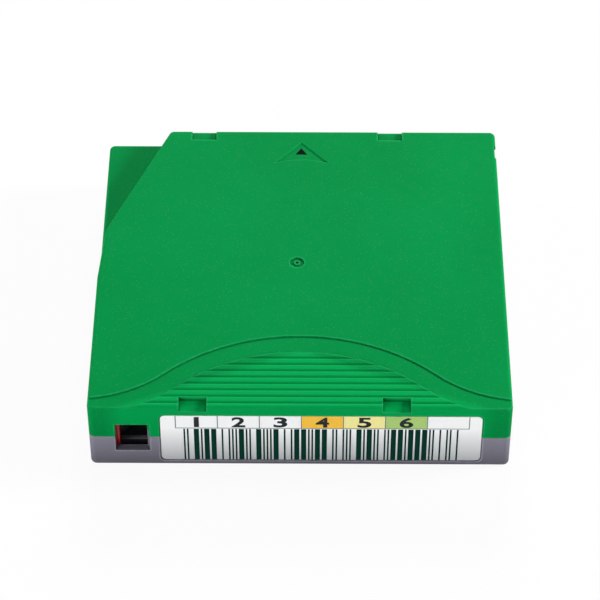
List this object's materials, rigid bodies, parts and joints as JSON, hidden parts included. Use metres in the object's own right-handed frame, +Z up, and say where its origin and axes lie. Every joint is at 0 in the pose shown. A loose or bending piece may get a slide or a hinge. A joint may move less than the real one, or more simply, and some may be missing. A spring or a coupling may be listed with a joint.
{
  "type": "data tape cartridge",
  "caption": "Single-reel data tape cartridge with grip ribs, access door, leader pin, sprung reel brake, write-protect slider and label.",
  "frame": {"origin": "bottom centre of the case, the middle of the underside's bounding rectangle", "axes": "+Z up out of the ribbed top, +Y towards the loading end, +X along the label towards the access door's side"},
  "size_m": [0.1054, 0.102, 0.0215],
  "materials": {
    "top_shell": "moulded plastic with a fine grain",
    "bottom_shell": "moulded plastic with a fine grain",
    "access_door": "moulded plastic with a fine grain",
    "slider_red": "smooth moulded plastic",
    "label_paper": "printed satin label stock",
    "circuit_board": "coated board with a printed loop",
    "chip_cap": "glossy sealing resin",
    "screw_steel": "zinc plated steel",
    "pin_steel": "turned and polished steel",
    "spring_steel": "drawn spring steel",
    "drive_plate_steel": "stamped steel",
    "clip_plastic": "smooth moulded plastic",
    "tape_film": "coated film, slightly glossy",
    "reel_plastic": "smooth moulded plastic",
    "brake_plastic": "smooth moulded plastic",
    "pad_plastic": "smooth moulded plastic"
  },
  "bodies": {
    "case": {"top_shell": "top_shell", "bottom_shell": "bottom_shell", "barcode_label": "label_paper", "memory_board": "circuit_board", "memory_chip_cap": "chip_cap", "case_screws": "screw_steel", "leader_pin": "pin_steel", "leader_pin_clip": "clip_plastic", "leader_pin_spring": "spring_steel", "tape_lead": "tape_film", "door_spring": "spring_steel", "brake_spring": "spring_steel"},
    "door": {"access_door": "access_door"},
    "slider": {"write_protect_slider": "slider_red"},
    "reel": {"reel_hub": "reel_plastic", "reel_upper_flange": "reel_plastic", "reel_drive_plate": "drive_plate_steel", "tape_pack": "tape_film"},
    "brake": {"brake_button": "brake_plastic"},
    "release": {"release_pad": "pad_plastic"}
  },
  "joints": [
    {"name": "door_slide", "type": "slide", "parent": "case", "child": "door", "axis": [0, -1, 0], "range_m": [0, 0.0212], "stiffness_N_per_m": 30, "springref_m": -0.015, "deforming": ["door_spring"]},
    {"name": "write_protect_slide", "type": "slide", "parent": "case", "child": "slider", "axis": [1, 0, 0], "range_m": [0, 0.008]},
    {"name": "reel_spin", "type": "hinge", "parent": "case", "child": "reel", "pos_m": [-0.001, 0, 0], "axis": [0, 0, 1], "continuous": true},
    {"name": "brake_lift", "type": "slide", "parent": "case", "child": "brake", "axis": [0, 0, 1], "range_m": [0, 0.0016], "stiffness_N_per_m": 400, "springref_m": -0.012, "deforming": ["brake_spring"]},
    {"name": "release_lift", "type": "slide", "parent": "reel", "child": "release", "axis": [0, 0, 1], "range_m": [0, 0.0016]}
  ],
  "couplings": [
    {"joint": "release_lift", "follows": "brake_lift", "ratio": 1}
  ]
}
